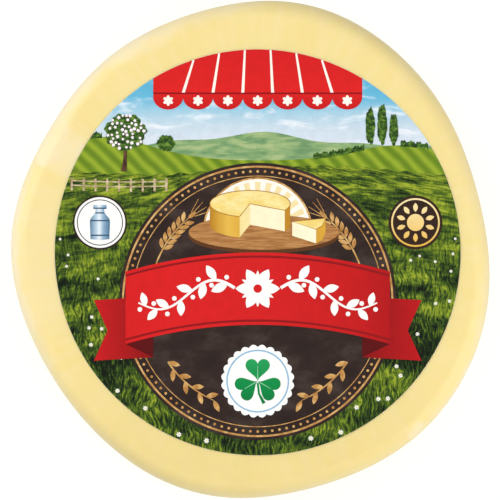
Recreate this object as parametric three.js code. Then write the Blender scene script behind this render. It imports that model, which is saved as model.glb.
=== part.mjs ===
// A thick round slice of provolone cheese, shrink-wrapped in clear film, with a
// round printed label stuck on its upper face.
//
// Units are millimetres and +Z is up. The slice lies flat on its underside. The
// origin is on the underside, at the middle of the slice's length and width.
// Y runs along the slice's longer width, X along its shorter one.

import * as THREE from "three";
import { mergeVertices } from "three/addons/utils/BufferGeometryUtils.js";

// ---- Driving dimensions -----------------------------------------------------

// The slice, film included: cut from a log about 4 1/2 inches thick.
const MEAN_RADIUS = 57;
const THICKNESS = 21;

// How far the rounded edges reach in from the rim, and how far up the wall they
// reach. The wall swells a little between them, to the rim at mid height.
const SHOULDER_REACH = 4.2; // upper edge, inwards over the top face
const FOOT_REACH = 4.5; // lower edge, inwards over the underside
const EDGE_HEIGHT = 6.5; // both edges, up and down the wall

// The shoulder is pressed softer on one side.
const SOFT_SHOULDER = { toward: 58, spread: 42, extraReach: 1.6 };

// The log hung in netting and was pressed by its neighbours, so the outline is
// uneven: each entry adds waves of this height around the rim, so many to a
// turn, with one crest toward this angle (degrees from +X toward +Y).
const OUTLINE_WAVES = [
  { perTurn: 2, height: 1.27, toward: -84 },
  { perTurn: 3, height: 0.72, toward: -45 },
  { perTurn: 4, height: 0.64, toward: -18 },
  { perTurn: 5, height: 0.3, toward: -31.5 },
  { perTurn: 6, height: 0.19, toward: 8.5 },
  { perTurn: 7, height: 0.08, toward: -24 },
  { perTurn: 8, height: 0.13, toward: -8 },
];

// The label: a disc of laminated paper, 3 3/4 inches across, put on a little
// off the slice's centre.
const LABEL_DIAMETER = 95.25;
const LABEL_THICKNESS = 0.25; // with its adhesive
const LABEL_OFFSET = { x: 1, y: -0.25 };

// Facets.
const STEPS_AROUND = 120;
const STEPS_PER_EDGE = 8;

// ---- The uneven outline -----------------------------------------------------

const { degToRad, radToDeg } = THREE.MathUtils;

// Distance from the slice's middle to its rim at an angle in radians.
function rimRadius(angle) {
  let radius = MEAN_RADIUS;
  for (const { perTurn, height, toward } of OUTLINE_WAVES) {
    radius += height * Math.cos(perTurn * (angle - degToRad(toward)));
  }
  return radius;
}

// How far the shoulder reaches in over the top face at an angle in radians.
function shoulderReach(angle) {
  const { toward, spread, extraReach } = SOFT_SHOULDER;
  const turn = radToDeg(angle) - toward;
  const away = THREE.MathUtils.euclideanModulo(turn + 180, 360) - 180;
  return SHOULDER_REACH + extraReach * Math.exp(-((away / spread) ** 2));
}

// ---- The slice --------------------------------------------------------------

// The section from the middle of the underside, round the rim, to the middle
// of the top, as a path of radius and height on a round slice.
function sliceSection() {
  const wallFoot = EDGE_HEIGHT;
  const wallTop = THICKNESS - EDGE_HEIGHT;
  const section = new THREE.Path();
  section.moveTo(0, 0);
  section.lineTo(MEAN_RADIUS - FOOT_REACH, 0);
  section.bezierCurveTo(
    MEAN_RADIUS - 0.35 * FOOT_REACH,
    0,
    MEAN_RADIUS,
    0.45 * wallFoot,
    MEAN_RADIUS,
    THICKNESS / 2,
  );
  section.bezierCurveTo(
    MEAN_RADIUS,
    THICKNESS - 0.45 * (THICKNESS - wallTop),
    MEAN_RADIUS - 0.35 * SHOULDER_REACH,
    THICKNESS,
    MEAN_RADIUS - SHOULDER_REACH,
    THICKNESS,
  );
  section.lineTo(0, THICKNESS);
  return section.getPoints(STEPS_PER_EDGE);
}

// Moves a point of the round slice out or in to the uneven outline. Between the
// rim and the edge's reach it keeps its distance from the rim, stretched to the
// reach at that angle. Nearer the middle the flat faces stretch to fit.
function toOutline(radius, height, angle) {
  const rim = rimRadius(angle);
  const upper = height > THICKNESS / 2;
  const drawnReach = upper ? SHOULDER_REACH : FOOT_REACH;
  const reach = upper ? shoulderReach(angle) : FOOT_REACH;
  const inset = MEAN_RADIUS - radius;
  if (inset <= drawnReach) return rim - (inset * reach) / drawnReach;
  return (radius * (rim - reach)) / (MEAN_RADIUS - drawnReach);
}

function sliceGeometry() {
  const lathed = new THREE.LatheGeometry(sliceSection(), STEPS_AROUND);
  lathed.deleteAttribute("normal");
  lathed.deleteAttribute("uv");
  lathed.rotateX(Math.PI / 2);
  const geometry = mergeVertices(lathed);

  const position = geometry.getAttribute("position");
  for (let i = 0; i < position.count; i++) {
    const x = position.getX(i);
    const y = position.getY(i);
    const radius = Math.hypot(x, y);
    if (radius < 1e-3) continue;
    const stretch =
      toOutline(radius, position.getZ(i), Math.atan2(y, x)) / radius;
    position.setXY(i, x * stretch, y * stretch);
  }
  geometry.computeVertexNormals();
  geometry.computeBoundingBox();
  return geometry;
}

const wrappedCheese = new THREE.Mesh(
  sliceGeometry(),
  new THREE.MeshStandardMaterial({
    color: "#fde59c",
    roughness: 0.35,
    metalness: 0,
  }),
);
wrappedCheese.name = "wrapped_cheese";

// ---- The label --------------------------------------------------------------

const labelGeometry = new THREE.CylinderGeometry(
  LABEL_DIAMETER / 2,
  LABEL_DIAMETER / 2,
  LABEL_THICKNESS,
  STEPS_AROUND,
);
labelGeometry.rotateX(Math.PI / 2);

const label = new THREE.Mesh(
  labelGeometry,
  new THREE.MeshStandardMaterial({
    color: "#5d712c",
    roughness: 0.4,
    metalness: 0,
  }),
);
label.name = "label";
label.position.set(
  LABEL_OFFSET.x,
  LABEL_OFFSET.y,
  THICKNESS + LABEL_THICKNESS / 2,
);

// ---- The part ---------------------------------------------------------------

// Both pieces are placed from the middle the outline is drawn about, so the
// group moves that point to put the outline's bounding box over the origin.
const part = new THREE.Group();
part.name = "provolone_slice";
part.add(wrappedCheese, label);
const middle = wrappedCheese.geometry.boundingBox.getCenter(
  new THREE.Vector3(),
);
part.position.set(-middle.x, -middle.y, 0);

export default part;
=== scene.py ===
"""A thick round slice of provolone, shrink-wrapped in clear film, with a round printed label on its face.

The slice lies on its underside, label up. +Y is the top of the label and +X its right. Sizes are in metres
unless a name or comment says otherwise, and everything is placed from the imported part's own pieces.
"""

import math
import random

import bpy
import numpy as np
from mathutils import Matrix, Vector
from mathutils.geometry import tessellate_polygon


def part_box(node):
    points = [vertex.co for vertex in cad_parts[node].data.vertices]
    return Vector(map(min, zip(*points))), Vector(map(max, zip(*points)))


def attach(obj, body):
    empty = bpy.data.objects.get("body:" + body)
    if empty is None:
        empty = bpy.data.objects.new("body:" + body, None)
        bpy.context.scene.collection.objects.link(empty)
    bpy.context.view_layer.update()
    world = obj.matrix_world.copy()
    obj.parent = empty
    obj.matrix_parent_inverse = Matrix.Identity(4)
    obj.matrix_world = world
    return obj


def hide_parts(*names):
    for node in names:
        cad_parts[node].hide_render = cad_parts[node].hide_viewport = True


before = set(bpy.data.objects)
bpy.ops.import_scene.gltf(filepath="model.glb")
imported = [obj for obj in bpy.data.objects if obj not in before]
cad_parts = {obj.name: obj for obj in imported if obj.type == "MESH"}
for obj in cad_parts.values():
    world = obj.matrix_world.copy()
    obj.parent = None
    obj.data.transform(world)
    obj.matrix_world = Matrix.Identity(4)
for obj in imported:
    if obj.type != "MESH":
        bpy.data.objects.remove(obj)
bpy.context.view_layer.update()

MM = 0.001

# ---------------- sizes of the slice

LABEL_LOW, LABEL_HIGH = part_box("label")
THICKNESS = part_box("wrapped_cheese")[1].z
LABEL_CENTRE = (LABEL_LOW + LABEL_HIGH) / 2
LABEL_RADIUS = (LABEL_HIGH.x - LABEL_LOW.x) / 2

# The label sits a little off the middle that the outline is drawn about.
MIDDLE = LABEL_CENTRE - Vector((1.0, -0.25, 0)) * MM

# The outline and the edges, as the CAD slice has them.
MEAN_RADIUS = 57 * MM
SHOULDER_REACH = 4.2 * MM
FOOT_REACH = 4.5 * MM
EDGE_HEIGHT = 6.5 * MM
HANDLE_INSET = 0.35  # how far short of the corner the edge curves' handles stop, as a share of the reach
HANDLE_RISE = 0.45  # and as a share of the height
SOFT_SHOULDER = {"toward": 58, "spread": 42, "extra_reach": 1.6 * MM}
OUTLINE_WAVES = (  # waves to a turn, height, angle of one crest in degrees
    (2, 1.27 * MM, -84),
    (3, 0.72 * MM, -45),
    (4, 0.64 * MM, -18),
    (5, 0.30 * MM, -31.5),
    (6, 0.19 * MM, 8.5),
    (7, 0.08 * MM, -24),
    (8, 0.13 * MM, -8),
)

# How far inside the CAD surface the film lies, and the cheese under it.
FILM_DEPTH = 0.02 * MM
CHEESE_DEPTH = 0.06 * MM

ROUNDING_ERROR = 1e-9  # lengths that differ by less are the same


# ---------------- colour and material helpers


def linear(hex_colour):
    """An sRGB hex colour as the linear colour that shaders take."""
    channels = [int(hex_colour[i : i + 2], 16) / 255 for i in (1, 3, 5)]
    return (*(c / 12.92 if c <= 0.04045 else ((c + 0.055) / 1.055) ** 2.4 for c in channels), 1)


def add_node(owner, kind, inputs=None, stops=(), **settings):
    """Adds a shader node, by its type's name without ShaderNode, to a material or a world.

    Each of inputs, by name or number, is a value, the socket that feeds it, or the node whose first output
    does. stops are a colour ramp's (place, hex colour) pairs.
    """
    tree = owner.node_tree
    made = tree.nodes.new("ShaderNode" + kind)
    for name, value in settings.items():
        setattr(made, name, value)
    for name, value in (inputs or {}).items():
        if isinstance(value, bpy.types.Node):
            value = value.outputs[0]
        if isinstance(value, bpy.types.NodeSocket):
            tree.links.new(value, made.inputs[name])
        else:
            made.inputs[name].default_value = value
    for index, (place, colour) in enumerate(stops):
        marks = made.color_ramp.elements
        mark = marks[index] if index < 2 else marks.new(place)
        mark.position = place
        mark.color = linear(colour)
    return made


def new_material(name):
    """A material with nothing in it yet."""
    material = bpy.data.materials.new(name)
    material.use_nodes = True
    material.node_tree.nodes.clear()
    return material


# ---------------- object helpers


def add_object(name, data):
    """An object in the scene."""
    made = bpy.data.objects.new(name, data)
    bpy.context.scene.collection.objects.link(made)
    return made


def add_mesh(name, vertices, faces, material, smooth=False):
    """A mesh object in the scene."""
    mesh = bpy.data.meshes.new(name)
    mesh.from_pydata([tuple(v) for v in vertices], [], faces)
    mesh.polygons.foreach_set("use_smooth", [smooth] * len(mesh.polygons))
    mesh.materials.append(material)
    mesh.validate()
    return add_object(name, mesh)


def add_piece(name, vertices, faces, material, stands_for, smooth=False):
    """A mesh piece that rides on the slice and stands for one CAD node."""
    piece = add_mesh(name, vertices, faces, material, smooth)
    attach(piece, "root")
    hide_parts(stands_for)


# ---------------- the slice's surface


def rim_radius(angle):
    """Distance from the middle to the rim at each angle."""
    radius = np.full_like(angle, MEAN_RADIUS)
    for per_turn, height, toward in OUTLINE_WAVES:
        radius += height * np.cos(per_turn * (angle - math.radians(toward)))
    return radius


def shoulder_reach(angle):
    """How far the upper edge's rounding reaches in over the face at each angle."""
    away = (np.degrees(angle) - SOFT_SHOULDER["toward"] + 180) % 360 - 180
    return SHOULDER_REACH + SOFT_SHOULDER["extra_reach"] * np.exp(-((away / SOFT_SHOULDER["spread"]) ** 2))


def bezier(points, steps):
    """Points along a cubic curve, without its first."""
    t = np.linspace(0, 1, steps + 1)[1:, None]
    a, b, c, d = (np.array(p, float) for p in points)
    return (1 - t) ** 3 * a + 3 * t * (1 - t) ** 2 * b + 3 * t * t * (1 - t) * c + t**3 * d


def slice_section(flat_steps, edge_steps):
    """(radius, height) on a round slice, from the underside's middle, round the rim, to the top's middle."""
    foot = MEAN_RADIUS - FOOT_REACH
    shoulder = MEAN_RADIUS - SHOULDER_REACH
    rim = (MEAN_RADIUS, THICKNESS / 2)
    lower = [
        (foot, 0),
        (MEAN_RADIUS - HANDLE_INSET * FOOT_REACH, 0),
        (MEAN_RADIUS, HANDLE_RISE * EDGE_HEIGHT),
        rim,
    ]
    upper = [
        rim,
        (MEAN_RADIUS, THICKNESS - HANDLE_RISE * EDGE_HEIGHT),
        (MEAN_RADIUS - HANDLE_INSET * SHOULDER_REACH, THICKNESS),
        (shoulder, THICKNESS),
    ]
    under = [(foot * k / flat_steps, 0) for k in range(1, flat_steps + 1)]
    over = [(shoulder * k / flat_steps, THICKNESS) for k in range(flat_steps - 1, 0, -1)]
    return np.array([*under, *bezier(lower, edge_steps), *bezier(upper, edge_steps), *over])


def slice_rings(steps_around, flat_steps, edge_steps):
    """Rings of points on the CAD slice's surface, an array of ring, step and x, y, z."""
    section = slice_section(flat_steps, edge_steps)
    angle = np.linspace(0, math.tau, steps_around, endpoint=False)
    radius, height = section[:, :1], section[:, 1:]
    rim = rim_radius(angle)[None, :]
    upper = height > THICKNESS / 2
    drawn_reach = np.where(upper, SHOULDER_REACH, FOOT_REACH)
    reach = np.where(upper, shoulder_reach(angle)[None, :], FOOT_REACH)
    inset = MEAN_RADIUS - radius
    on_edge = rim - inset * reach / drawn_reach
    on_flat = radius * (rim - reach) / (MEAN_RADIUS - drawn_reach)
    placed = np.where(inset <= drawn_reach + ROUNDING_ERROR, on_edge, on_flat)
    x = MIDDLE.x + placed * np.cos(angle)
    y = MIDDLE.y + placed * np.sin(angle)
    return np.stack([x, y, np.broadcast_to(height, placed.shape)], axis=-1)


def outward(rings):
    """Unit normals of the rings' points, pointing out of the slice."""
    along = np.gradient(rings, axis=0)
    around = np.roll(rings, -1, axis=1) - np.roll(rings, 1, axis=1)
    normal = np.cross(around, along)
    return normal / np.linalg.norm(normal, axis=-1, keepdims=True)


def close_rings(rings):
    """(vertices, faces) of a closed skin through the rings, with a point at each pole."""
    count, steps = rings.shape[:2]
    low, high = rings[0].mean(axis=0), rings[-1].mean(axis=0)
    vertices = np.vstack([rings.reshape(-1, 3), low, high])
    faces = []
    for step in range(steps):
        after = (step + 1) % steps
        faces.append((count * steps, after, step))
        faces.append((count * steps + 1, (count - 1) * steps + step, (count - 1) * steps + after))
        for ring in range(count - 1):
            a, b = ring * steps, (ring + 1) * steps
            faces.append((a + step, a + after, b + after, b + step))
    return vertices, faces


# ---------------- cheese


# Paler patches along the rim's two lit sides, towards the softboxes: partly painted sheen, their light
# painted into the colour, and partly cheese that looks paler where the film has lifted off a little or
# moisture lies under it. Each patch is what a ball takes in of the surface: the angle it lies at in degrees,
# how far its middle is beyond the rim, its radius and the width of its soft edge in mm, and how much it
# shows. The large ones join to a band.
PATCH_HEIGHT = THICKNESS - 3 * MM
PALE_AND_SHEEN_PATCHES = (
    (98, 20.0, 24.6, 2.4, 0.30),
    (106, 20.0, 24.2, 2.8, 0.40),
    (114, 20.0, 25.4, 3.4, 0.50),
    (124, 20.0, 24.6, 3.4, 0.70),
    (133, 20.0, 24.2, 3.4, 0.78),
    (142, 20.0, 23.6, 3.4, 0.72),
    (151.5, -1.5, 7.7, 2.6, 0.72),
    (151.5, -7.5, 7.4, 2.6, 0.55),
    (161, 20.0, 22.4, 2.6, 0.35),
    (169, 20.0, 23.0, 3.0, 0.75),
    (178, 20.0, 23.2, 3.0, 0.75),
    (187, 20.0, 23.8, 3.4, 0.75),
    (196, 20.0, 24.1, 3.4, 0.65),
    (205, 20.0, 23.8, 3.4, 0.35),
    (183, -5.0, 24.2, 14.0, 0.22),
    (312, -2.4, 3.8, 1.8, 0.50),
    (320, 20.0, 23.2, 3.0, 0.28),
    (332, 20.0, 22.4, 2.6, 0.50),
    (342, 20.0, 23.4, 3.0, 0.30),
    (353, 20.0, 23.2, 3.0, 0.25),
)

# Towards the bottom the cheese is painted a deeper yellow, in wide soft patches drawn in the same way:
# painted shade, where less light falls.
BOTTOM_SHADE_PATCHES = (
    (243, 4.0, 37.0, 30.0, 0.40),
    (259, 4.0, 38.0, 30.0, 0.45),
    (280, 4.0, 38.0, 30.0, 0.38),
    (300, 4.0, 34.0, 28.0, 0.32),
)


def patch_middle(toward, beyond):
    """Where a patch's ball lies, at an angle in degrees and so many millimetres beyond the rim."""
    turn = math.radians(toward)
    out = float(rim_radius(np.array([turn]))[0]) + beyond * MM
    return MIDDLE.x + out * math.cos(turn), MIDDLE.y + out * math.sin(turn), PATCH_HEIGHT


def patches(material, place, balls):
    """How much patches show at a place on the cheese. Their outlines wander by some millimetres."""
    noise = add_node(material, "TexNoise", {"Vector": place, "Scale": 1 / (12 * MM), "Detail": 2.0})
    wander = add_node(
        material, "VectorMath", {0: noise.outputs["Color"], 1: (0.5, 0.5, 0.5)}, operation="SUBTRACT"
    )
    most = (5 * MM, 5 * MM, 7 * MM)
    moved = add_node(material, "VectorMath", {0: wander, 1: most, 2: place}, operation="MULTIPLY_ADD")
    share = 0.0
    for toward, beyond, radius, soft, strength in balls:
        ball = {0: moved, 1: patch_middle(toward, beyond)}
        away = add_node(material, "VectorMath", ball, operation="DISTANCE").outputs["Value"]
        fade = {"From Min": (radius - soft) * MM, "From Max": radius * MM, "To Min": strength, "To Max": 0.0}
        near = add_node(material, "MapRange", {0: away, **fade}, interpolation_type="SMOOTHSTEP")
        share = add_node(material, "Math", {0: share, 1: near}, operation="MAXIMUM")
    droplets = add_node(material, "TexNoise", {"Vector": place, "Scale": 1 / (6 * MM), "Detail": 2.0})
    uneven = add_node(
        material,
        "MapRange",
        {0: droplets, "From Min": 0.3, "From Max": 0.65, "To Min": 0.75, "To Max": 1.15},
    )
    return add_node(material, "Math", {0: share, 1: uneven}, operation="MULTIPLY")


LINE_HEIGHT = 0.015 * MM


def stretch_lines(material, place):
    """Faint lines where the film is stretched over the edges: out across the faces and down the wall.

    They lie about 3 mm apart and fade out towards the middle of the faces. Each drifts and changes along its
    length, because the noise is read a quarter as fast along the lines as across them.
    """
    from_middle = add_node(material, "VectorMath", {0: place, 1: MIDDLE}, operation="SUBTRACT")
    flat = add_node(material, "VectorMath", {0: from_middle, 1: (1, 1, 0)}, operation="MULTIPLY")
    toward_rim = add_node(material, "VectorMath", {0: flat}, operation="NORMALIZE")
    drift = add_node(material, "VectorMath", {0: place, "Scale": 0.25}, operation="SCALE")
    reach = (MEAN_RADIUS, MEAN_RADIUS, MEAN_RADIUS)
    around = add_node(material, "VectorMath", {0: toward_rim, 1: reach, 2: drift}, operation="MULTIPLY_ADD")
    noise = add_node(material, "TexNoise", {"Vector": around, "Scale": 1 / (3 * MM), "Detail": 2.0})
    lines = add_node(material, "MapRange", {0: noise, "From Min": 0.42, "From Max": 0.75})
    out = add_node(material, "VectorMath", {0: flat}, operation="LENGTH").outputs["Value"]
    fading = add_node(
        material, "MapRange", {0: out, "From Min": 0.5 * MEAN_RADIUS, "From Max": 0.85 * MEAN_RADIUS}
    )
    return add_node(material, "Math", {0: lines, 1: fading}, operation="MULTIPLY")


def provolone():
    """Provolone: a smooth, close stretched-curd cheese, pale yellow and a little translucent.

    The film clings to it wetly, so what shines is the film's gloss and not the cheese's own.
    """
    material = new_material("provolone")
    place = add_node(material, "TexCoord").outputs["Object"]
    clouds = add_node(material, "TexNoise", {"Vector": place, "Scale": 1 / (16 * MM), "Detail": 2.0})
    curd = add_node(material, "TexNoise", {"Vector": place, "Scale": 1 / (1.6 * MM), "Detail": 3.0})
    lines = stretch_lines(material, place)
    lines_shown = add_node(material, "Math", {0: lines, 1: 0.18}, operation="MULTIPLY")
    colour = linear("#f2d880")
    for share, blended in (
        (clouds, "#f7e49d"),
        (curd, "#f5df91"),
        (lines_shown, "#f9e8c2"),
        # painted shade: the rim darker towards the bottom
        (patches(material, place, BOTTOM_SHADE_PATCHES), "#e4cd7b"),
        # painted sheen on the rim's lit sides, partly paler cheese under lifted film
        (patches(material, place, PALE_AND_SHEEN_PATCHES), "#f9e8c2"),
    ):
        colour = add_node(
            material, "Mix", {0: share, 6: colour, 7: linear(blended)}, data_type="RGBA"
        ).outputs[2]
    swell = add_node(material, "TexNoise", {"Vector": place, "Scale": 1 / (7 * MM), "Detail": 2.0})
    swollen = add_node(material, "Bump", {"Height": swell, "Distance": 0.12 * MM})
    relief = add_node(material, "Bump", {"Height": lines, "Distance": LINE_HEIGHT, "Normal": swollen})
    surface = add_node(
        material,
        "BsdfPrincipled",
        {
            "Base Color": colour,
            "Roughness": 0.5,
            "IOR": 1.45,
            "Specular IOR Level": 0.1,
            "Subsurface Weight": 0.35,
            "Subsurface Radius": (1.0, 0.62, 0.22),
            "Subsurface Scale": 2.5 * MM,
            "Coat Weight": 0.3,
            "Coat Roughness": 0.16,
            "Coat IOR": 1.5,
            "Normal": relief,
            "Coat Normal": relief,
        },
    )
    add_node(material, "OutputMaterial", {"Surface": surface})
    return material


def make_cheese(material):
    rings = slice_rings(steps_around=360, flat_steps=16, edge_steps=20)
    skin = close_rings(rings - outward(rings) * CHEESE_DEPTH)
    add_piece("cheese", *skin, material, "wrapped_cheese", smooth=True)


# ---------------- film


def shrink_film():
    """Clear polyolefin shrink film: thin and glossy, with a faint milky veil.

    Along the lines where it was stretched it stands up a hair and is a little less glossy.
    """
    material = new_material("shrink_film")
    place = add_node(material, "TexCoord").outputs["Object"]
    lines = stretch_lines(material, place)
    roughness = add_node(material, "MapRange", {0: lines, "To Min": 0.11, "To Max": 0.2})
    relief = add_node(material, "Bump", {"Height": lines, "Distance": LINE_HEIGHT})
    surface = add_node(
        material,
        "BsdfPrincipled",
        {
            "Base Color": linear("#fdfdfb"),
            "Roughness": roughness,
            "IOR": 1.5,
            "Alpha": 0.08,
            "Normal": relief,
        },
    )
    add_node(material, "OutputMaterial", {"Surface": surface})
    return material


def make_film(material):
    rings = slice_rings(steps_around=480, flat_steps=24, edge_steps=24)
    skin = close_rings(rings - outward(rings) * FILM_DEPTH)
    add_piece("film", *skin, material, "wrapped_cheese", smooth=True)


# ---------------- label: paper, layers and flat shapes

# Places and sizes of the print are in millimetres from the label's centre, u to the right and v up.
# Each layer of print lies a hair above the last, from 0 on the paper to LAYERS just below the label's top. A
# layer's shapes may overlap, so in turn they lie at HEIGHTS slightly different heights below the next layer.
LAYERS = 14
HEIGHTS = 5
PAPER_TOP = LABEL_LOW.z + 0.07 * MM
PRINT_RADIUS = LABEL_RADIUS / MM - 0.03  # the cut edge of the paper shows white round the print


def label_stock():
    """White coated label paper, punched out with a sharp die. Its cut edge shows a little fibre.

    The fibres are drawn 0.4 mm wide, many times too wide, so that they show.
    """
    material = new_material("label_stock")
    place = add_node(material, "TexCoord").outputs["Object"]
    fibres = add_node(
        material, "TexNoise", {"Vector": place, "Scale": 1 / (0.4 * MM), "Detail": 3.0, "Roughness": 0.7}
    )
    colour = add_node(material, "ValToRGB", {0: fibres}, stops=[(0.35, "#efeee4"), (0.65, "#fcfcf7")])
    relief = add_node(material, "Bump", {"Height": fibres, "Strength": 0.5, "Distance": 0.02 * MM})
    surface = add_node(
        material, "BsdfPrincipled", {"Base Color": colour, "Roughness": 0.5, "IOR": 1.5, "Normal": relief}
    )
    add_node(material, "OutputMaterial", {"Surface": surface})
    return material


def make_paper(material):
    """The label's paper: a thin disc with a cut edge."""
    steps = 240
    rounding = 0.02 * MM  # what the die leaves on each edge
    levels = (
        (LABEL_RADIUS - rounding, LABEL_LOW.z - FILM_DEPTH / 2),
        (LABEL_RADIUS, LABEL_LOW.z + rounding),
        (LABEL_RADIUS, PAPER_TOP - rounding),
        (LABEL_RADIUS - rounding, PAPER_TOP),
    )
    vertices, faces = [], []
    for radius, height in levels:
        for k in range(steps):
            turn = math.tau * k / steps
            x = LABEL_CENTRE.x + radius * math.cos(turn)
            y = LABEL_CENTRE.y + radius * math.sin(turn)
            vertices.append((x, y, height))
    last = (len(levels) - 1) * steps
    faces.append(tuple(reversed(range(steps))))
    faces.append(tuple(range(last, last + steps)))
    for level in range(0, last, steps):
        for k in range(steps):
            after = (k + 1) % steps
            faces.append((level + k, level + after, level + steps + after, level + steps + k))
    add_piece("label_paper", vertices, faces, material, "label")


def lay(name, layer, finish, *shapes):
    """Prints flat shapes, each of points (u, v) and faces, as one piece on a layer of the label."""
    vertices, faces = [], []
    for turn, (points, shape_faces) in enumerate(shapes):
        step = layer + turn % HEIGHTS / (HEIGHTS + 1)
        height = PAPER_TOP + (LABEL_HIGH.z - PAPER_TOP) * step / (LAYERS + 1)
        faces += [tuple(len(vertices) + i for i in face) for face in shape_faces]
        vertices += [(LABEL_CENTRE.x + u * MM, LABEL_CENTRE.y + v * MM, height) for u, v in points]
    add_piece(name, vertices, faces, finish, "label")


def fill(outline, *holes):
    """The flat area inside an outline, without its holes."""
    loops = [[Vector((u, v, 0)) for u, v in loop] for loop in (outline, *holes)]
    points = [p for loop in loops for p in loop]
    faces = []
    for a, b, c in tessellate_polygon(loops):
        up = (points[b] - points[a]).cross(points[c] - points[a]).z
        faces.append((a, b, c) if up > 0 else (a, c, b))
    return [(p.x, p.y) for p in points], faces


def stroke(path, width, closed=False):
    """A line along a path. Its width may change from point to point."""
    path = np.asarray(path, float)
    count = len(path)
    if closed:
        along = np.roll(path, -1, axis=0) - np.roll(path, 1, axis=0)
    else:
        along = np.gradient(path, axis=0)
    along /= np.linalg.norm(along, axis=1, keepdims=True)
    half = np.column_stack([-along[:, 1], along[:, 0]]) * np.reshape(np.asarray(width, float) / 2, (-1, 1))
    points = np.vstack([path + half, path - half])
    last = count if closed else count - 1
    faces = [(count + k, count + (k + 1) % count, (k + 1) % count, k) for k in range(last)]
    return points, faces


def between(low, high, start=-PRINT_RADIUS, end=PRINT_RADIUS, steps=320):
    """The area from the curve v = low(u) up to v = high(u), cut off at the round edge of the print."""
    u = (start + end) / 2 - (end - start) / 2 * np.cos(np.linspace(0, math.pi, steps + 1))
    edge = np.sqrt(np.maximum(PRINT_RADIUS**2 - u**2, 0))
    lower = np.clip(low(u), -edge, edge)
    upper = np.clip(high(u), -edge, edge)
    open_here = upper - lower > ROUNDING_ERROR / MM
    points = np.vstack([np.column_stack([u, lower]), np.column_stack([u, upper])])
    faces = [
        (k, k + 1, steps + k + 2, steps + k + 1) for k in range(steps) if open_here[k] and open_here[k + 1]
    ]
    return points, faces


def round_path(centre, radius, steps=96, lobes=0, depth=0.0):
    """A closed path round a centre, scalloped outward by so many lobes of this depth."""
    turn = np.linspace(0, math.tau, steps, endpoint=False)
    reach = radius + depth * np.abs(np.sin(lobes * turn / 2))
    return np.column_stack([centre[0] + reach * np.cos(turn), centre[1] + reach * np.sin(turn)])


def turned(points, base, toward):
    """Points drawn along +u, turned toward an angle in degrees and moved to a base."""
    cos, sin = math.cos(math.radians(toward)), math.sin(math.radians(toward))
    return [(base[0] + u * cos - v * sin, base[1] + u * sin + v * cos) for u, v in points]


def on_oval(centre, radii, toward):
    """The place at an angle in degrees on an oval, of radii across and up."""
    turn = math.radians(toward)
    return centre[0] + radii[0] * math.cos(turn), centre[1] + radii[1] * math.sin(turn)


def mirrored(points):
    """The mirror image of an outline, left for right."""
    return [(-u, v) for u, v in points]


def leaf(base, length, width, toward):
    """A pointed leaf, petal or grain that grows from its base toward an angle in degrees."""
    t = np.linspace(0, 1, 11)
    half = width / 2 * np.sin(math.pi * t) ** 0.85  # a little fuller than a sine wave
    half[[0, -1]] = 0
    drawn = [*zip(t * length, -half), *zip(t[-2:0:-1] * length, half[-2:0:-1])]
    return fill(turned(drawn, base, toward))


def heart(tip, size, toward):
    """A heart-shaped leaflet that grows from its tip toward an angle in degrees.

    It is the well-known heart curve, moved to start at its tip, where it is 30 long.
    """
    t = np.linspace(0, math.tau, 40, endpoint=False)
    across = 16 * np.sin(t) ** 3
    along = 13 * np.cos(t) - 5 * np.cos(2 * t) - 2 * np.cos(3 * t) - np.cos(4 * t) + 17
    return fill(turned(zip(along * size / 30, across * size / 30), tip, toward))


# ---------------- label: inks


def ink(name, paint):
    """Offset ink on coated paper under a satin varnish.

    paint is a hex colour, or a function that draws a colour from the place on the label in millimetres. The
    ink lies thicker and thinner in a mottle about 2 mm across, and the surface follows the gentle unevenness
    of the cheese below, about 13 mm from swell to swell.
    """
    material = new_material(name)
    spot = add_node(material, "TexCoord").outputs["Object"]
    from_centre = add_node(material, "VectorMath", {0: spot, 1: LABEL_CENTRE}, operation="SUBTRACT")
    place = add_node(material, "VectorMath", {0: from_centre, "Scale": 1 / MM}, operation="SCALE")
    colour = linear(paint) if isinstance(paint, str) else paint(material, place)
    mottle = add_node(
        material, "TexNoise", {"Vector": place, "Scale": 1 / 2.2, "Detail": 4.0, "Roughness": 0.6}
    )
    density = add_node(
        material, "MapRange", {0: mottle, "From Min": 0.3, "From Max": 0.7, "To Min": 0.95, "To Max": 1.05}
    )
    printed = add_node(material, "HueSaturation", {"Color": colour, "Value": density})
    swell = add_node(material, "TexNoise", {"Vector": place, "Scale": 1 / 13, "Detail": 1.0})
    relief = add_node(material, "Bump", {"Height": swell, "Distance": 0.05 * MM})
    surface = add_node(
        material,
        "BsdfPrincipled",
        {"Base Color": printed, "Roughness": 0.4, "IOR": 1.5, "Specular IOR Level": 0.2, "Normal": relief},
    )
    add_node(material, "OutputMaterial", {"Surface": surface})
    return material


def shaded(axis, *stops):
    """Paint that blends along the label's X or Y through (place in mm, colour) stops."""
    first, last = stops[0][0], stops[-1][0]
    shares = [((at - first) / (last - first), colour) for at, colour in stops]

    def paint(material, place):
        along = add_node(material, "SeparateXYZ", {0: place}).outputs[axis]
        share = add_node(material, "MapRange", {0: along, "From Min": first, "From Max": last})
        return add_node(material, "ValToRGB", {0: share}, stops=shares)

    return paint


def brushed(stretch, *stops):
    """Paint of dabs of colour, stretch (along u, along v) mm in size, through (share, colour) stops."""
    to_dabs = (1 / stretch[0], 1 / stretch[1], 0)

    def paint(material, place):
        drawn = add_node(material, "VectorMath", {0: place, 1: to_dabs}, operation="MULTIPLY")
        dabs = add_node(
            material,
            "TexNoise",
            {"Vector": drawn, "Scale": 1.0, "Detail": 4.0, "Roughness": 0.6, "Distortion": 0.3},
        )
        return add_node(material, "ValToRGB", {0: dabs}, stops=stops)

    return paint


# ---------------- label: sky and land


# The heights of the land's edges, from soft waves and humps.
def skyline(u):
    return 26.3 + 1.5 * np.sin((u + 16) / 10) + 0.5 * np.sin(u / 3.7 + 1)


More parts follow.
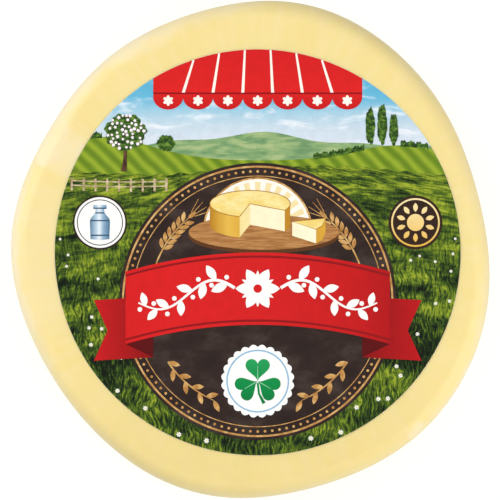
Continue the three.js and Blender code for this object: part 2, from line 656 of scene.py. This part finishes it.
def middle_hill(u):
    return 21.5 + 5.6 * np.exp(-(((u + 37) / 17) ** 2)) + 3.6 * np.exp(-(((u - 33) / 15) ** 2))


def near_hill(u):
    return 19.3 + 1.1 * np.sin(u / 12 + 0.6) + 0.25 * np.sin(u * 1.3)


def print_bottom(u):
    return np.full_like(u, -PRINT_RADIUS)


def print_top(u):
    return np.full_like(u, PRINT_RADIUS)


def summer_sky(material, place):
    """Deep blue above and hazy at the skyline, with thin drawn-out clouds."""
    blue = shaded("Y", (22, "#e2e5ee"), (29.5, "#c9dbe7"), (33, "#a5cee1"), (36, "#6ab8d8"), (46, "#4aaed2"))
    drawn_out = add_node(material, "VectorMath", {0: place, 1: (1 / 9, 1 / 2.6, 0)}, operation="MULTIPLY")
    wisps = add_node(
        material,
        "TexNoise",
        {"Vector": drawn_out, "Scale": 1.0, "Detail": 5.0, "Roughness": 0.55, "Distortion": 0.4},
    )
    thick = {0: wisps, "From Min": 0.5, "From Max": 0.72, "To Max": 0.7}
    cover = add_node(material, "MapRange", thick, interpolation_type="SMOOTHSTEP")
    return add_node(
        material, "Mix", {0: cover, 6: blue(material, place), 7: linear("#fbfcff")}, data_type="RGBA"
    ).outputs[2]


def mown_grass(material, place):
    """A hayfield mown in stripes."""
    stripes = add_node(
        material,
        "TexWave",
        {"Vector": place, "Scale": 0.16, "Distortion": 1.2, "Detail": 2.0, "Detail Scale": 1.0},
        wave_type="BANDS",
        bands_direction="DIAGONAL",
    )
    return add_node(
        material, "ValToRGB", {0: stripes}, stops=[(0.0, "#66831f"), (0.5, "#7a9525"), (1.0, "#95aa2f")]
    )


HORIZON = 26.0
FAR_OFF, CLOSE_BY, CLOSEST = 6.0, 38.0, 62.0  # how far below the horizon the grass looks so far away


def long_grass(material, place):
    """Long grass in perspective: downwards it darkens, and its tufts turn into leaning blades."""
    parts = add_node(material, "SeparateXYZ", {0: place})
    below = add_node(material, "Math", {0: HORIZON, 1: parts.outputs["Y"]}, operation="SUBTRACT")
    across = add_node(material, "Math", {0: parts.outputs["X"], 1: below}, operation="DIVIDE")
    away = add_node(material, "Math", {0: below, 1: math.e}, operation="LOGARITHM")
    ground = add_node(material, "CombineXYZ", {"X": across, "Y": away})
    wind = add_node(material, "TexNoise", {"Vector": place, "Scale": 1 / 5.5, "Detail": 1.0})
    blown = {0: wind.outputs["Color"], 1: (3.6, 0, 0), 2: place}
    leaning = add_node(material, "VectorMath", blown, operation="MULTIPLY_ADD")
    growths = (  # where it is drawn, its scale both ways, detail, roughness, share far off and close by
        (ground, (1.9, 5.3, 0), 2.0, 0.5, 0.9, 0.9),  # drifts
        (ground, (6.5, 18.2, 0), 5.0, 0.7, 1.0, 0.55),  # tufts
        (leaning, (1 / 0.5, 1 / 2.4, 0), 3.0, 0.65, 0.1, 1.2),  # blades, 0.5 mm wide and 2.4 mm long
    )
    tones = add_node(
        material,
        "MapRange",
        {0: below, "From Min": FAR_OFF, "From Max": CLOSEST, "To Min": 0.61, "To Max": 0.46},
    )
    nearer = {0: below, "From Min": FAR_OFF, "From Max": CLOSE_BY}
    for drawn_on, scale, detail, roughness, share_far_off, share_close_by in growths:
        drawn = add_node(material, "VectorMath", {0: drawn_on, 1: scale}, operation="MULTIPLY")
        growth = add_node(
            material,
            "TexNoise",
            {"Vector": drawn, "Scale": 1.0, "Detail": detail, "Roughness": roughness, "Distortion": 0.35},
        )
        lighter = add_node(material, "Math", {0: growth, 1: 0.5}, operation="SUBTRACT")
        share = add_node(material, "MapRange", {**nearer, "To Min": share_far_off, "To Max": share_close_by})
        tones = add_node(material, "Math", {0: lighter, 1: share, 2: tones}, operation="MULTIPLY_ADD")
    return add_node(
        material,
        "ValToRGB",
        {0: tones},
        stops=[
            (0.3, "#0c1408"),
            (0.4, "#1b2c10"),
            (0.48, "#2e4517"),
            (0.56, "#485f1c"),
            (0.66, "#6f8421"),
            (0.8, "#a1ae34"),
        ],
    )


def crown(centre, width, height, lumps, start):
    """A tree crown with a lumpy outline."""
    turn = np.linspace(0, math.tau, 80, endpoint=False)
    reach = 1 + 0.06 * np.sin(lumps * turn + start) + 0.04 * np.sin((2 * lumps + 3) * turn + 2 * start)
    across = centre[0] + width / 2 * reach * np.cos(turn)
    up = centre[1] + height / 2 * reach * np.sin(turn)
    return fill(np.column_stack([across, up]))


def hedge(ground, start, end):
    """A hedge along a hill's crest, 0.5 to 1.3 mm tall, with large and small lumps."""

    def foot(u):
        return ground(u) - 0.3

    def top(u):
        return ground(u) + 0.5 + 0.5 * np.abs(np.sin(1.7 * u)) + 0.3 * np.abs(np.sin(4.3 * u + 1))

    return between(foot, top, start, end)


def scattered(count, seed, spacing, inside):
    """Seeded random places that inside(u, v) accepts, none closer than spacing."""
    draw = random.Random(seed)
    places = []
    while len(places) < count:
        spot = (draw.uniform(-PRINT_RADIUS, PRINT_RADIUS), draw.uniform(-PRINT_RADIUS, PRINT_RADIUS))
        if inside(*spot) and all(math.dist(spot, other) > spacing for other in places):
            places.append(spot)
    return places


def make_land():
    """The sky, the hills and the meadow. Each reaches 1 mm under the one in front of it."""
    lay("print_sky", 1, ink("sky_print", summer_sky), between(lambda u: skyline(u) - 1, print_top))
    fields = brushed((7, 1.6), (0.38, "#6f9566"), (0.5, "#8bab74"), (0.62, "#a9bd84"))
    lay("print_far_hills", 2, ink("far_hill_print", fields), between(lambda u: middle_hill(u) - 1, skyline))
    mown = ink("mown_grass_print", mown_grass)
    lay("print_middle_hill", 3, mown, between(lambda u: near_hill(u) - 1, middle_hill))
    lay("print_meadow", 4, ink("long_grass_print", long_grass), between(print_bottom, near_hill))


BLOSSOM_TREE = (-31.0, 28.2)


def make_trees():
    leaves = brushed((1.1, 0.8), (0.36, "#1d3213"), (0.48, "#35551f"), (0.58, "#54792b"), (0.7, "#86a445"))
    foliage = ink("foliage_print", leaves)
    hedges = [hedge(middle_hill, start, end) for start, end in ((-47, -36.5), (13, 25), (33.5, 40))]
    lay("print_hedges", 4, foliage, *hedges)
    crowns = (  # middle, width, height, lumps to a turn, where they start in radians
        (BLOSSOM_TREE, 9.6, 8.4, 7, 0.5),
        ((-21.5, 25.6), 4.2, 3.8, 6, 2.0),
        ((26.4, 29.6), 2.2, 8.6, 5, 1.0),
        ((29.2, 30.0), 2.3, 9.4, 5, 2.2),
        ((31.9, 28.8), 2.1, 7.4, 5, 3.1),
    )
    lay("print_trees", 6, foliage, *[crown(*drawn) for drawn in crowns])
    bark = ink("bark_print", brushed((0.5, 2), (0.4, "#3a281c"), (0.6, "#6a4c34")))
    trunk = stroke([(-31.4, 19.0), (-31.1, 21.5), (-31.0, 25.0)], [1.5, 0.95, 0.7])
    lay("print_trunk", 5, bark, trunk)

    def in_crown(u, v):
        return math.hypot((u - BLOSSOM_TREE[0]) / 4.6, (v - BLOSSOM_TREE[1]) / 4.0) < 1

    blossoms = [
        fill(round_path(spot, 0.2 + 0.05 * (k % 3), 25, lobes=5, depth=0.14))
        for k, spot in enumerate(scattered(46, seed=11, spacing=0.8, inside=in_crown))
    ]
    lay("print_blossoms", 7, ink("blossom_print", "#fbeef1"), *blossoms)


def make_daisies():
    """White daisies in the grass, larger towards the foot of the label."""

    def in_grass(u, v):
        beside_badge = math.dist((abs(u), v), BADGE) > BADGE_RADIUS + 1
        open_ground = math.dist((u, v), MEDALLION) > MEDALLION_RADIUS + 1.2
        return beside_badge and open_ground and math.hypot(u, v) < PRINT_RADIUS - 1 and v < 9

    petals, middles = [], []
    for spot in scattered(30, seed=5, spacing=2.2, inside=in_grass):
        size = 0.2 + 0.0055 * (25 - spot[1])
        petals.append(fill(round_path(spot, 0.55 * size, 42, lobes=7, depth=0.55 * size)))
        middles.append(fill(round_path(spot, 0.3 * size, 12)))
    lay("print_daisies", 5, ink("daisy_print", "#f6f7ee"), *petals)
    lay("print_daisy_middles", 6, ink("daisy_middle_print", "#e9c63a"), *middles)


def make_fence():
    """A post-and-rail fence, 3 mm tall, across the meadow."""
    places = np.linspace(-43.6, -21.4, 9)
    ground = 14.2 + 0.002 * (places + 30) ** 2
    posts = [stroke([(u, v), (u, v + 3.0)], 0.5) for u, v in zip(places, ground)]
    rails = [stroke(np.column_stack([places, ground + rise]), 0.3) for rise in (1.2, 2.3)]
    wood = ink("fence_print", brushed((1.5, 1.5), (0.4, "#a58d68"), (0.6, "#d8c6a2")))
    lay("print_fence_posts", 6, wood, *posts)
    lay("print_fence_rails", 5, wood, *rails)


# ---------------- label: awning

AWNING_FOOT = 36.4  # where the valance's scallops begin
AWNING_FOLD = AWNING_FOOT + 0.9
SCALLOP = 7.0
SCALLOP_DROP = 2.9
SCALLOPS = 7
STRIPE_LEAN = 0.86  # the stripes' spacing at the top, as a share of that at the fold


def make_awning():
    """A market stall's awning, with a scalloped valance."""
    half = SCALLOP * SCALLOPS / 2

    def valance(u):
        across = (u + half) % SCALLOP - SCALLOP / 2
        return AWNING_FOOT - SCALLOP_DROP * np.sqrt(np.maximum(1 - (across / (SCALLOP / 2)) ** 2, 0))

    def cloth_edge(u):
        return u, math.sqrt(PRINT_RADIUS**2 - u**2) - 0.05

    red = ink("awning_red_print", shaded("Y", (33, "#c4181a"), (38, "#dc2120"), (47, "#d41d1f")))
    lay("print_awning", 5, red, between(valance, print_top, -half, half, steps=1400))
    cream = ink("awning_cream_print", "#fbf6ea")
    seams = [(k - SCALLOPS / 2) * SCALLOP for k in range(1, SCALLOPS)]
    stripes = [stroke([cloth_edge(STRIPE_LEAN * u), (u, AWNING_FOLD)], [0.45, 0.7]) for u in seams]
    lay("print_awning_stripes", 6, cream, *stripes)
    fold = stroke([(-half, AWNING_FOLD), (half, AWNING_FOLD)], 0.35)
    lay("print_awning_fold", 7, ink("awning_fold_print", "#8f1013"), fold)
    middles = [((k + 0.5 - SCALLOPS / 2) * SCALLOP, AWNING_FOOT - 0.8) for k in range(SCALLOPS)]
    flowers = [fill(round_path(middle, 0.75, 72, lobes=6, depth=0.5)) for middle in middles]
    lay("print_awning_flowers", 6, cream, *flowers)


# ---------------- label: medallion

MEDALLION = (0, -11.5)
MEDALLION_RADIUS = 32.5
BEAD_RADIUS = 30.5
BEADS = 112
SPRIG_RADIUS = 25.4


def on_medallion(radius, toward):
    return on_oval(MEDALLION, (radius, radius), toward)


def wheat_ear(start, end):
    """An ear of wheat along the medallion's edge between two angles: paired grains, then bristles."""
    shapes = []
    growing = 1 if end > start else -1
    for k in range(6):
        at = start + (end - start) * k / 6
        for side in (-1, 1):
            base = on_medallion(SPRIG_RADIUS + 0.25 * side, at)
            shapes.append(leaf(base, 2.5, 1.0, at + growing * (90 - 36 * side)))
    tip = on_medallion(SPRIG_RADIUS, end)
    shapes.append(leaf(tip, 2.4, 1.0, end + growing * 90))
    for lean in (-22, -8, 8, 22):
        shapes.append(stroke(turned([(1.6, 0), (5.2, 0)], tip, end + growing * 90 + lean), [0.22, 0.1]))
    return shapes


def laurel(start, end):
    """Leaves to both sides of a stem that follows the medallion's edge."""
    growing = 1 if end > start else -1
    leaves = []
    for k in range(8):
        at = start + (end - start) * k / 7
        lean = 50 if k % 2 else 130
        leaves.append(leaf(on_medallion(SPRIG_RADIUS, at), 3.0, 1.2, at + growing * lean))
    return leaves


def make_medallion(gold):
    """A round dark panel with a beaded gold border, wheat above and laurel below."""
    brown = brushed((9, 6), (0.36, "#2b1f1b"), (0.5, "#322521"), (0.66, "#443732"))
    lay("print_medallion", 5, ink("brown_print", brown), fill(round_path(MEDALLION, MEDALLION_RADIUS, 240)))
    rings = [stroke(round_path(MEDALLION, r, 240), w, closed=True) for r, w in ((31.6, 0.45), (29.4, 0.2))]
    beads = [fill(round_path(on_medallion(BEAD_RADIUS, 360 * k / BEADS), 0.32, 14)) for k in range(BEADS)]
    lay("print_gold_border", 6, gold, *rings, *beads)
    thinning = [0.35] * 20 + [0.15] * 4
    stems = [
        stroke([on_medallion(SPRIG_RADIUS, a) for a in np.linspace(start, end, 24)], thinning)
        for start, end in ((20, 52), (160, 128), (214, 246), (326, 294))
    ]
    lay("print_stems", 6, gold, *stems)
    lay("print_wheat", 7, gold, *wheat_ear(29, 50), *wheat_ear(151, 130))
    lay("print_laurel", 7, gold, *laurel(214, 246), *laurel(326, 294))


# ---------------- label: wheel of cheese

SUNRISE = (0, 4.7)
SUNRISE_RADIUS = 12.7
WHEEL = (-1.8, 11.4)
WHEEL_RADII = (9.4, 3.1)
WHEEL_HEIGHT = 4.9
CUT_FROM, CUT_TO = -105, -30  # the angles that the missing wedge lies between
WEDGE = [(8.1, 7.2), (13.7, 5.4), (15.2, 6.3), (15.9, 8.0)]  # its tip, then its rind from the near corner
WEDGE_HEIGHT = 3.3
BOARD = (1.4, 4.7)
BOARD_RADII = (17.6, 4.1)
BOARD_THICKNESS = 0.9


def on_wheel(toward, drop=0.0):
    u, v = on_oval(WHEEL, WHEEL_RADII, toward)
    return u, v - drop


def wheel_side(start, end):
    """The drawn wheel's rind between two angles."""
    angles = np.linspace(start, end, 24)
    return fill([on_wheel(a) for a in angles] + [on_wheel(a, WHEEL_HEIGHT) for a in angles[::-1]])


def dropped(points, drop):
    return [(u, v - drop) for u, v in points]


def make_sunrise(gold):
    """A cream half disc with pale rays, like a low sun behind the wheel of cheese."""
    radii = (SUNRISE_RADIUS, SUNRISE_RADIUS)
    arc = [on_oval(SUNRISE, radii, toward) for toward in np.linspace(0, 180, 60)]
    lay("print_sunrise", 6, ink("sunrise_print", "#fbf7ea"), fill(arc))
    tip = [(SUNRISE_RADIUS - 0.9, 0)]
    rays = [
        fill([SUNRISE] + [turned(tip, SUNRISE, at + side)[0] for side in (-3.2, 0, 3.2)])
        for at in range(12, 180, 13)
    ]
    lay("print_sun_rays", 7, ink("sun_ray_print", "#f4dfa6"), *rays)
    lay("print_sunrise_border", 8, gold, stroke(arc, 0.4))


def make_cheese_picture():
    """A cut wheel of cheese and its wedge on a wooden board."""
    board = [on_oval(BOARD, BOARD_RADII, toward) for toward in range(0, 360, 5)]
    lay("print_board_edge", 8, ink("board_edge_print", "#5d391d"), fill(dropped(board, BOARD_THICKNESS)))
    grain = brushed((6, 0.6), (0.4, "#a06a39"), (0.6, "#c08b54"))
    lay("print_board", 9, ink("board_print", grain), fill(board))

    centre_foot = (WHEEL[0], WHEEL[1] - WHEEL_HEIGHT)
    cuts = [
        fill([WHEEL, on_wheel(toward), on_wheel(toward, WHEEL_HEIGHT), centre_foot])
        for toward in (CUT_FROM, CUT_TO)
    ]
    wedge_cut = WEDGE[:2]
    pale = shaded("X", (-5, "#f3dc94"), (-1.9, "#f6e3a3"), (-1.7, "#fcf1c9"), (14, "#fdf4d2"))
    wedge_side = fill(wedge_cut + dropped(wedge_cut[::-1], WEDGE_HEIGHT))
    lay("print_cut_cheese", 10, ink("cut_cheese_print", pale), *cuts, wedge_side)
    golden = shaded(
        "X", (-11.2, "#b8801f"), (-7, "#e6b94e"), (-3, "#d9a53a"), (7.6, "#bd8526"), (15, "#d9a53a")
    )
    wedge_rind = fill(WEDGE[1:] + dropped(WEDGE[:0:-1], WEDGE_HEIGHT))
    sides = (wheel_side(-180, CUT_FROM), wheel_side(CUT_TO, 0), wedge_rind)
    lay("print_rind", 10, ink("rind_print", golden), *sides)
    top = [WHEEL] + [on_wheel(a) for a in np.linspace(CUT_TO, CUT_FROM + 360, 72)]
    faces = ink("cheese_face_print", brushed((5, 2), (0.4, "#f3d67a"), (0.6, "#f9e6a0")))
    lay("print_cheese_faces", 11, faces, fill(top), fill(WEDGE))
    edges = [stroke(top, 0.16, closed=True), stroke(WEDGE, 0.14, closed=True)]
    lay("print_cheese_edges", 12, ink("cheese_edge_print", "#a8701d"), *edges)


# ---------------- label: ribbon

RIBBON_HALF = 8.5
RIBBON_END = 31.0
TAIL_START, TAIL_FOOT = 24.5, -24.6


def ribbon_middle(u):
    return -13 + 4.5 * (1 - (np.asarray(u) / RIBBON_END) ** 2)


def vine_height(u):
    return 2.5 * math.sin((u - 5) / 22.5 * math.tau) + float(ribbon_middle(u))


def vine_leaves():
    """The leaves and berries of a vine to each side of the ribbon's flower, like embroidery."""
    pieces = []
    for k in range(8):
        u = 7.0 + 2.75 * k
        v = vine_height(u)
        slope = math.degrees(math.atan2(vine_height(u + 0.1) - vine_height(u - 0.1), 0.2))
        lean = 52 if k % 2 else -52
        for side in (-1, 1):
            toward = slope + lean if side > 0 else 180 - slope - lean
            pieces.append(leaf((side * u, v), 4.3 - 0.14 * k, 2.1 - 0.06 * k, toward))
            berry = turned([(1.6, 0)], (side * u, v), toward - 2 * side * lean)[0]
            pieces.append(fill(round_path(berry, 0.55, 18)))
    return pieces


def make_ribbon():
    """A red satin ribbon across the medallion, its tails folded behind."""
    tail = [(TAIL_START, -10.4), (38.4, -11.2), (35.2, -18.3), (38.4, -25.4), (TAIL_START, TAIL_FOOT)]
    shadowed = shaded("X", (-38, "#c4191c"), (-26, "#8f1013"), (26, "#8f1013"), (38, "#b9161a"))
    lay("print_ribbon_tails", 7, ink("ribbon_tail_print", shadowed), fill(tail), fill(mirrored(tail)))
    low_corner = float(ribbon_middle(RIBBON_END)) - RIBBON_HALF
    fold = [(RIBBON_END, low_corner), (TAIL_START, TAIL_FOOT), (TAIL_START, -18)]
    lay("print_ribbon_folds", 8, ink("ribbon_fold_print", "#5c0c0e"), fill(fold), fill(mirrored(fold)))
    sheen = shaded("X", (-31, "#d51d1f"), (-20, "#d91f20"), (4, "#d21e1f"), (22, "#c4191b"), (31, "#b01418"))
    satin = ink("ribbon_print", sheen)
    band = between(
        lambda u: ribbon_middle(u) - RIBBON_HALF,
        lambda u: ribbon_middle(u) + RIBBON_HALF,
        -RIBBON_END,
        RIBBON_END,
    )
    lay("print_ribbon", 9, satin, band)
    u = np.linspace(-RIBBON_END, RIBBON_END, 120)
    borders = [stroke(np.column_stack([u, ribbon_middle(u) + v]), 0.5) for v in (-7.5, 7.5)]
    lay("print_ribbon_borders", 10, ink("ribbon_border_print", "#8f1418"), *borders)
    white = ink("vine_print", "#fdfbf6")
    stems = [
        stroke([(side * u, vine_height(u)) for u in np.linspace(5.4, 28, 60)], np.linspace(0.75, 0.35, 60))
        for side in (-1, 1)
    ]
    lay("print_vine_stems", 11, white, *stems)
    lay("print_vine_leaves", 12, white, *vine_leaves())
    eye = (0, float(ribbon_middle(0)))
    sepals = [leaf(eye, 4.3, 1.1, toward) for toward in range(30, 390, 60)]
    petals = [leaf(eye, 5.2, 2.6, toward) for toward in (0, 60, 120, 240, 300, 180)]
    lay("print_flower_sepals", 11, white, *sepals)
    lay("print_flower_petals", 12, white, *petals)
    lay("print_flower_eye", 13, satin, fill(round_path(eye, 1.0, 24)))


# ---------------- label: rosette and badges

ROSETTE = (0, -30.2)
CLOVER_ANGLES = (90, 210, 330)
BADGE = (37.0, 7.0)
BADGE_RADIUS = 6.3


def make_rosette():
    """A white scalloped disc with a clover leaf."""
    white = ink("white_print", "#fbfbf7")
    lay("print_rosette", 8, white, fill(round_path(ROSETTE, 8.0, 240, lobes=24, depth=0.6)))
    ring = stroke(round_path(ROSETTE, 7.2, 96), 0.35, closed=True)
    lay("print_rosette_ring", 9, ink("blue_line_print", "#8fb9d8"), ring)
    green = ink("clover_print", shaded("Y", (-37, "#06733a"), (-31, "#0a8a45"), (-24, "#2aa35c")))
    leaflets = [heart(ROSETTE, 5.4, toward) for toward in CLOVER_ANGLES]
    stem = stroke([(0, -30.6), (0.3, -33.2), (1.5, -35.4)], [0.5, 0.5, 0.8])
    lay("print_clover", 9, green, *leaflets)
    lay("print_clover_stem", 10, green, stem)
    veins = [stroke(turned([(0.6, 0), (3.6, 0)], ROSETTE, toward), [0.24, 0.1]) for toward in CLOVER_ANGLES]
    lay("print_clover_veins", 11, ink("clover_vein_print", "#8fd0a8"), *veins)


def make_can_badge():
    """A white badge with a milk can."""
    centre = (-BADGE[0], BADGE[1])
    lay("print_can_badge", 6, ink("badge_white_print", "#fafaf6"), fill(round_path(centre, BADGE_RADIUS)))
    rings = [
        stroke(round_path(centre, BADGE_RADIUS - inset), width, closed=True)
        for inset, width in ((0.15, 0.4), (1.0, 0.2))
    ]
    lay("print_can_badge_ring", 7, ink("badge_brown_print", "#2e1f1c"), *rings)
    lid = [(0, 4.1), (1.5, 4.1), (1.6, 3.4), (1.05, 3.2)]
    side = [*lid, (1.05, 2.3), (2.2, 0.9), (2.35, 0.2), (2.2, -3.9), (0, -4.1)]
    can = [(u + centre[0], v + centre[1]) for u, v in side + mirrored(side[-2:0:-1])]
    steel = shaded(
        "X",
        (-39.4, "#4f7697"),
        (-37.9, "#b5cddd"),
        (-37.2, "#e9f1f6"),
        (-36.2, "#8fb0c9"),
        (-34.6, "#426a8c"),
    )
    lay("print_milk_can", 8, ink("can_print", steel), fill(can))
    bands = [
        stroke([(centre[0] - w, centre[1] + v), (centre[0] + w, centre[1] + v)], 0.3)
        for v, w in ((2.25, 1.1), (0.45, 2.3), (-3.0, 2.2), (3.35, 1.55))
    ]
    lay("print_milk_can_bands", 9, ink("can_band_print", "#34556f"), *bands)


def make_sun_badge():
    """A dark badge with a cream sun."""
    lay("print_sun_badge", 6, ink("sun_badge_print", "#35231c"), fill(round_path(BADGE, BADGE_RADIUS)))
    cream = ink("sun_print", shaded("Y", (2, "#e9b94e"), (12, "#fbe6ad")))
    ring = stroke(round_path(BADGE, BADGE_RADIUS - 0.8), 0.4, closed=True)
    disc = fill(round_path(BADGE, 2.0, 40))
    rays = [leaf(turned([(2.5, 0)], BADGE, at)[0], 2.1, 1.1, at) for at in range(18, 378, 36)]
    lay("print_sun", 7, cream, ring, disc, *rays)


def make_label():
    make_paper(label_stock())
    make_land()
    make_trees()
    make_daisies()
    make_fence()
    make_awning()
    gold = ink("gold_print", brushed((2.0, 2.0), (0.35, "#a9743c"), (0.5, "#c69455"), (0.65, "#dfb677")))
    make_medallion(gold)
    make_sunrise(gold)
    make_cheese_picture()
    make_ribbon()
    make_rosette()
    make_can_badge()
    make_sun_badge()


# ---------------- studio

TABLE_HALF = 1.5
TABLE_GLOW = 0.6
ROOM_LIGHT = 0.765
CEILING_LIGHT = 0.08 * ROOM_LIGHT
CEILING_FROM, CEILING_TO = 0.93, 0.975  # how far up the ceiling starts and is all dark, 1 being overhead
SCREEN_AZIMUTH = 72  # degrees from +X toward +Y
SCREEN_OUT, SCREEN_DOWN = 0.87, 0.5  # the direction of its middle: out that way, and down
SCREEN_SHARE = 0.64  # of the walls' light, at the screen's middle


def make_floor():
    """A sheet of opal acrylic, lit from below, as product tables are, so that it stays white.

    Seen from below it is clear, so that the slice's underside shows.
    """
    material = new_material("opal_acrylic")
    from_below = add_node(material, "NewGeometry").outputs["Backfacing"]
    opaque = add_node(material, "Math", {0: 1.0, 1: from_below}, operation="SUBTRACT")
    surface = add_node(
        material,
        "BsdfPrincipled",
        {
            "Base Color": linear("#bababa"),
            "Roughness": 0.9,
            "Emission Color": linear("#ffffff"),
            "Emission Strength": TABLE_GLOW,
            "Alpha": opaque,
        },
    )
    add_node(material, "OutputMaterial", {"Surface": surface})
    corners = [(x * TABLE_HALF, y * TABLE_HALF, 0) for x, y in ((-1, -1), (1, -1), (1, 1), (-1, 1))]
    floor = add_mesh("table_top", corners, [(0, 1, 2, 3)], material)
    # The slice is lit from below by the room's light, which is softer than the table's own.
    floor.visible_diffuse = False
    floor.visible_glossy = False
    floor.visible_shadow = False


def softbox(name, azimuth, elevation, distance, side, watts):
    """A square soft light that faces the slice. Azimuth turns from +X toward +Y."""
    lamp = bpy.data.lights.new(name, "AREA")
    lamp.shape = "SQUARE"
    lamp.size = side
    lamp.energy = watts
    light = add_object(name, lamp)
    turn = math.radians(azimuth)
    rise = math.radians(elevation)
    toward = Vector((math.cos(turn) * math.cos(rise), math.sin(turn) * math.cos(rise), math.sin(rise)))
    light.location = toward * distance
    light.rotation_euler = toward.to_track_quat("Z", "Y").to_euler()
    light.visible_camera = False


def make_room():
    """Even white walls with a dark screen behind the slice.

    The ceiling is darker too, so the flat label isn't veiled by its reflection.
    """
    world = bpy.data.worlds.new("studio")
    world.use_nodes = True
    world.node_tree.nodes.clear()
    toward = add_node(world, "TexCoord").outputs["Generated"]
    height = add_node(world, "SeparateXYZ", {0: toward}).outputs["Z"]
    fade = {"From Min": CEILING_FROM, "From Max": CEILING_TO, "To Min": ROOM_LIGHT, "To Max": CEILING_LIGHT}
    level = add_node(world, "MapRange", {0: height, **fade}, interpolation_type="SMOOTHSTEP")
    turn = math.radians(SCREEN_AZIMUTH)
    screen = (SCREEN_OUT * math.cos(turn), SCREEN_OUT * math.sin(turn), -SCREEN_DOWN)
    behind = add_node(world, "VectorMath", {0: toward, 1: screen}, operation="DOT_PRODUCT").outputs["Value"]
    unscreened = add_node(
        world,
        "MapRange",
        {0: behind, "From Min": 0.3, "From Max": 0.9, "To Min": 1.0, "To Max": SCREEN_SHARE},
        interpolation_type="SMOOTHSTEP",
    )
    light = add_node(world, "Math", {0: level, 1: unscreened}, operation="MULTIPLY")
    walls = add_node(world, "Background", {"Color": linear("#ffffff"), "Strength": light})
    add_node(world, "OutputWorld", {"Surface": walls})
    bpy.context.scene.world = world


def make_studio():
    make_floor()
    make_room()
    softbox("left_box", azimuth=152, elevation=30, distance=0.7, side=0.7, watts=2.65)
    softbox("right_box", azimuth=335, elevation=30, distance=0.7, side=0.6, watts=2.28)
    bpy.context.scene.view_settings.view_transform = "Standard"


# The view is straight down on the label. A long lens shows the rim, which is lower than the label, at
# nearly the same scale.
LENS = 1600  # mm
VIEW_WIDTH = 117.25 * MM
VIEW_CENTRE = Vector((-0.08, -0.14, 0)) * MM


def make_camera():
    data = bpy.data.cameras.new("camera")
    data.lens = LENS
    camera = add_object("camera", data)
    camera.location = VIEW_CENTRE + Vector((0, 0, LABEL_HIGH.z + VIEW_WIDTH * LENS / data.sensor_width))
    bpy.context.scene.camera = camera


make_camera()
make_studio()
make_cheese(provolone())
make_film(shrink_film())
make_label()
